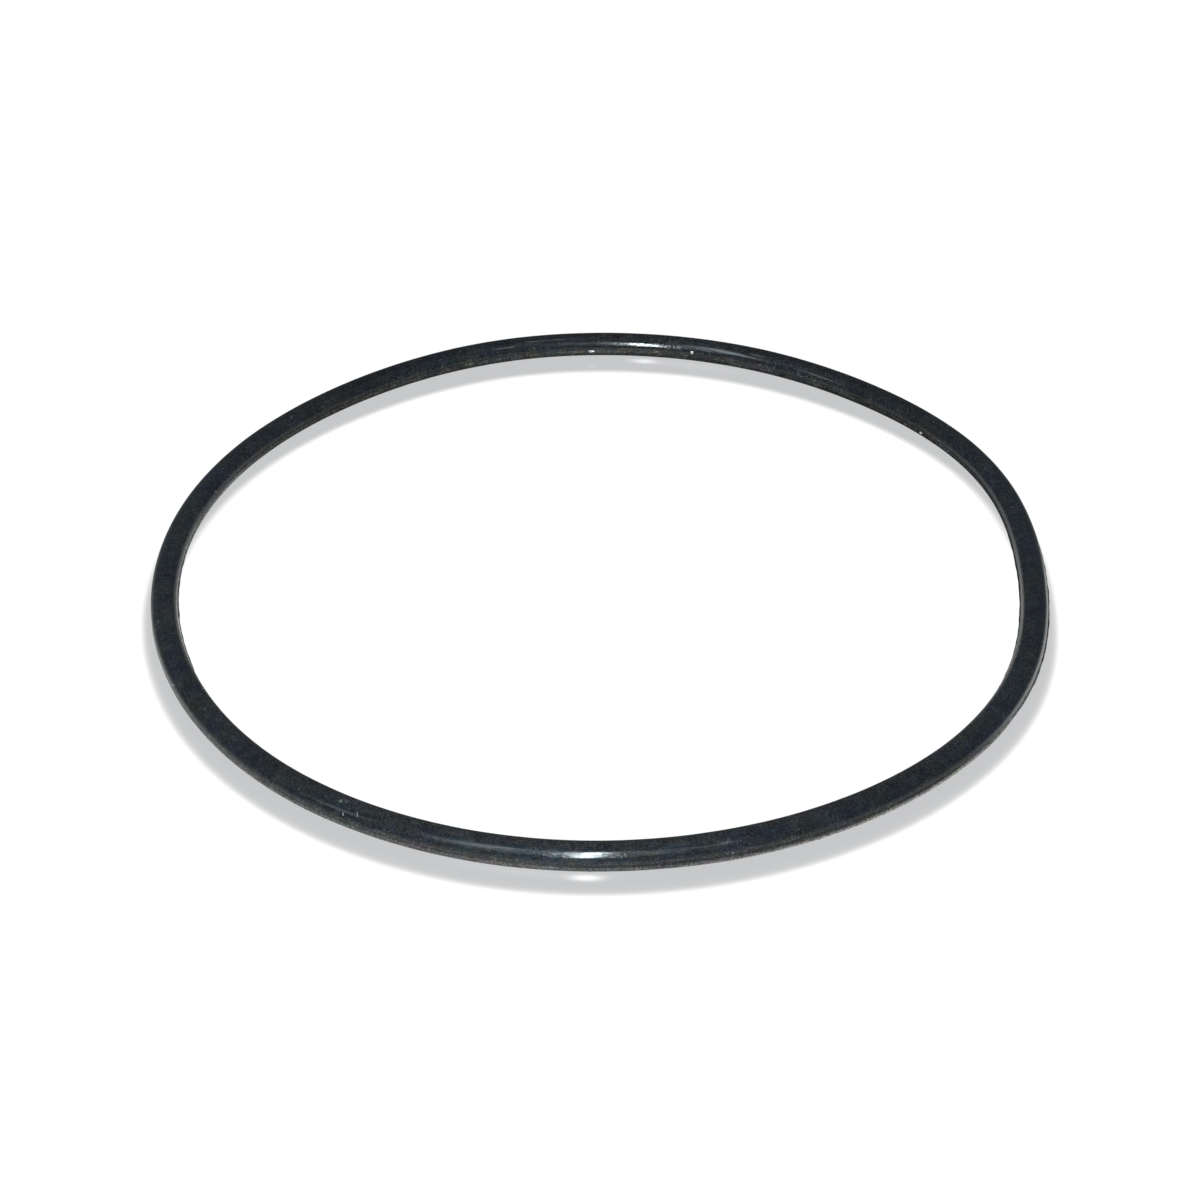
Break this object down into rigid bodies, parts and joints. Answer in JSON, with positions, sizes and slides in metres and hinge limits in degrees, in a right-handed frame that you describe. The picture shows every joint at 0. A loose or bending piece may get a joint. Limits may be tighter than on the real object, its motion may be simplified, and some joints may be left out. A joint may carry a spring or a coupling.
{
  "type": "rubber o-ring",
  "caption": "Moulded rubber o-ring: a closed loop of round cord that seals the gap between a shaft or plug and its housing.",
  "frame": {"origin": "centre of the ring, half way up the cord", "axes": "+Z along the ring's axis; the ring lies flat in the XY plane, and the picture's camera looks along +Y and down"},
  "size_m": [0.1209, 0.121, 0.0036],
  "materials": {
    "rubber": "black moulded rubber, semi-gloss, with fine dust and a greyer trimmed parting line"
  },
  "bodies": {
    "root": {"o_ring": "rubber"}
  },
  "joints": []
}
